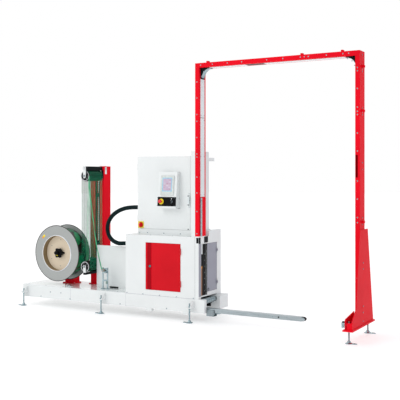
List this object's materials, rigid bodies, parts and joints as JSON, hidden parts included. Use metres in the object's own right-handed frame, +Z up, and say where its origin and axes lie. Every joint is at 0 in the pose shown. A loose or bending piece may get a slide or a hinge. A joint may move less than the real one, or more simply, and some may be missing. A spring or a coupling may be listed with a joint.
{
  "type": "pallet strapping machine",
  "caption": "Pallet strapping machine: bed with sliding lance, stacked cabinets, portal strap arch, strap reel and accumulator tower.",
  "frame": {"origin": "on the floor, under the middle of the whole machine", "axes": "+X along the bed towards the far leg of the arch, -Y the operator side, +Z up"},
  "size_m": [4.105, 0.849, 2.66],
  "materials": {
    "white_paint": "satin powder coat, fine orange peel",
    "red_paint": "satin powder coat",
    "grey_paint": "satin powder coat",
    "dark_paint": "matt black paint",
    "zinc_steel": "bright zinc plate",
    "bare_steel": "ground steel",
    "reel_steel": "spun galvanised steel",
    "reel_disc_paint": "beige paint",
    "aluminium_profile": "anodised",
    "black_rubber": "matt",
    "black_plastic": "fine texture",
    "grey_plastic": "fine texture",
    "yellow_plastic": "satin",
    "red_plastic": "satin",
    "strap_green": "embossed polyester strap",
    "roller_beige": "nylon"
  },
  "bodies": {
    "frame": {"arch_covers": "red_paint", "arch_left_leg": "red_paint", "arch_liners": "red_paint", "arch_right_leg": "red_paint", "arch_tabs": "red_paint", "arch_top_beam": "red_paint", "bed_cross_members": "white_paint", "bed_rails": "white_paint", "cabinet_plinth": "white_paint", "conduit": "black_plastic", "conduit_glands": "black_plastic", "control_gear": "grey_plastic", "deck_plate": "white_paint", "door_hinges": "zinc_steel", "end_frame": "white_paint", "feed_strap": "strap_green", "foot_brackets": "white_paint", "guard_panel": "white_paint", "guide_stand": "bare_steel", "lance_bracket": "bare_steel", "lance_dock": "bare_steel", "lance_guide": "bare_steel", "lance_motor": "dark_paint", "leg_base": "red_paint", "levelling_feet": "zinc_steel", "lower_cabinet": "white_paint", "reel_stand": "red_paint", "side_column": "white_paint", "strap_guides": "grey_paint", "strap_loops": "strap_green", "strapping_head": "bare_steel", "tower_head": "dark_paint", "tower_posts": "red_paint", "upper_cabinet": "white_paint"},
    "lance": {"lance_beam": "aluminium_profile"},
    "tip_roller": {"lance_tip_roller": "black_rubber"},
    "drive_wheel": {"lance_drive_wheel": "black_rubber"},
    "support_roller": {"lance_support_roller": "bare_steel"},
    "lower_door": {"lower_door": "red_paint"},
    "lower_lock": {"lower_door_lock": "zinc_steel"},
    "side_door": {"side_door": "grey_paint"},
    "upper_door": {"upper_door": "white_paint", "console": "white_paint", "control_panel": "black_plastic", "touch_panel": "grey_plastic", "estop_collar": "yellow_plastic", "main_switch_plate": "yellow_plastic"},
    "door_handle": {"door_handle": "white_paint"},
    "main_switch": {"main_switch_knob": "red_plastic"},
    "estop": {"estop_button": "red_plastic"},
    "selector": {"selector_switch": "black_plastic"},
    "dancer": {"dancer_frame": "white_paint"},
    "dancer_roller": {"dancer_roller": "black_rubber"},
    "top_roller": {"top_roller": "black_rubber"},
    "reel": {"reel_spool": "reel_steel", "reel_disc": "reel_disc_paint", "strap_coil": "strap_green", "reel_handwheel": "black_plastic"},
    "guide_roller": {"guide_roller": "roller_beige"},
    "feed_roller": {"feed_roller": "black_rubber"}
  },
  "joints": [
    {"name": "lance_slide", "type": "slide", "parent": "frame", "child": "lance", "axis": [1, 0, 0], "range_m": [-1.05, 0.42]},
    {"name": "tip_roller_spin", "type": "hinge", "parent": "lance", "child": "tip_roller", "pos_m": [1.4415, -0.0935, 0.127], "axis": [0, 1, 0], "continuous": true},
    {"name": "drive_wheel_spin", "type": "hinge", "parent": "frame", "child": "drive_wheel", "pos_m": [0.0115, -0.0935, 0.1883], "axis": [0, 1, 0], "range_deg": [-606, 1509]},
    {"name": "support_roller_spin", "type": "hinge", "parent": "frame", "child": "support_roller", "pos_m": [0.4515, -0.0935, 0.0907], "axis": [0, 1, 0], "range_deg": [-4020, 1610]},
    {"name": "lower_door_hinge", "type": "hinge", "parent": "frame", "child": "lower_door", "pos_m": [0.1085, -0.1745, 0.5435], "axis": [0, 0, 1], "range_deg": [0, 110]},
    {"name": "lower_lock_turn", "type": "hinge", "parent": "lower_door", "child": "lower_lock", "pos_m": [-0.2665, -0.1675, 0.5435], "axis": [0, 1, 0], "range_deg": [0, 90]},
    {"name": "side_door_hinge", "type": "hinge", "parent": "frame", "child": "side_door", "pos_m": [0.3305, 0.2165, 0.5445], "axis": [0, 0, 1], "range_deg": [0, 110]},
    {"name": "upper_door_hinge", "type": "hinge", "parent": "frame", "child": "upper_door", "pos_m": [-0.5155, -0.0245, 1.3115], "axis": [0, 0, -1], "range_deg": [0, 105]},
    {"name": "door_handle_turn", "type": "hinge", "parent": "upper_door", "child": "door_handle", "pos_m": [0.1375, -0.0375, 1.236], "axis": [0, 1, 0], "range_deg": [0, 90]},
    {"name": "main_switch_turn", "type": "hinge", "parent": "upper_door", "child": "main_switch", "pos_m": [-0.4665, -0.0375, 0.967], "axis": [0, 1, 0], "range_deg": [0, 90]},
    {"name": "estop_press", "type": "slide", "parent": "upper_door", "child": "estop", "axis": [0, 0.9956, -0.0938], "range_m": [0, 0.005], "stiffness_N_per_m": 900, "springref_m": -0.002},
    {"name": "selector_turn", "type": "hinge", "parent": "upper_door", "child": "selector", "pos_m": [-0.032, -0.11675, 1.22268], "axis": [0, -0.9956, 0.0938], "range_deg": [-45, 45]},
    {"name": "dancer_slide", "type": "slide", "parent": "frame", "child": "dancer", "axis": [0, 0, 1], "range_m": [0, 0.7], "deforming": ["strap_loops"]},
    {"name": "dancer_roller_spin", "type": "hinge", "parent": "dancer", "child": "dancer_roller", "pos_m": [-1.1965, 0.0545, 0.475], "axis": [0, 1, 0], "continuous": true},
    {"name": "top_roller_spin", "type": "hinge", "parent": "frame", "child": "top_roller", "pos_m": [-1.1965, 0.0545, 1.491], "axis": [0, 1, 0], "continuous": true},
    {"name": "reel_spin", "type": "hinge", "parent": "frame", "child": "reel", "pos_m": [-1.5835, 0.0015, 0.609], "axis": [0, 1, 0], "continuous": true},
    {"name": "guide_roller_spin", "type": "hinge", "parent": "frame", "child": "guide_roller", "pos_m": [-0.9455, -0.0745, 0.449], "axis": [0, 1, 0], "continuous": true},
    {"name": "feed_roller_spin", "type": "hinge", "parent": "frame", "child": "feed_roller", "pos_m": [0.3295, -0.0865, 0.206], "axis": [0, 1, 0], "continuous": true}
  ],
  "couplings": [
    {"joint": "drive_wheel_spin", "follows": "lance_slide", "rad_per_m": -25},
    {"joint": "support_roller_spin", "follows": "lance_slide", "rad_per_m": 66.667}
  ]
}
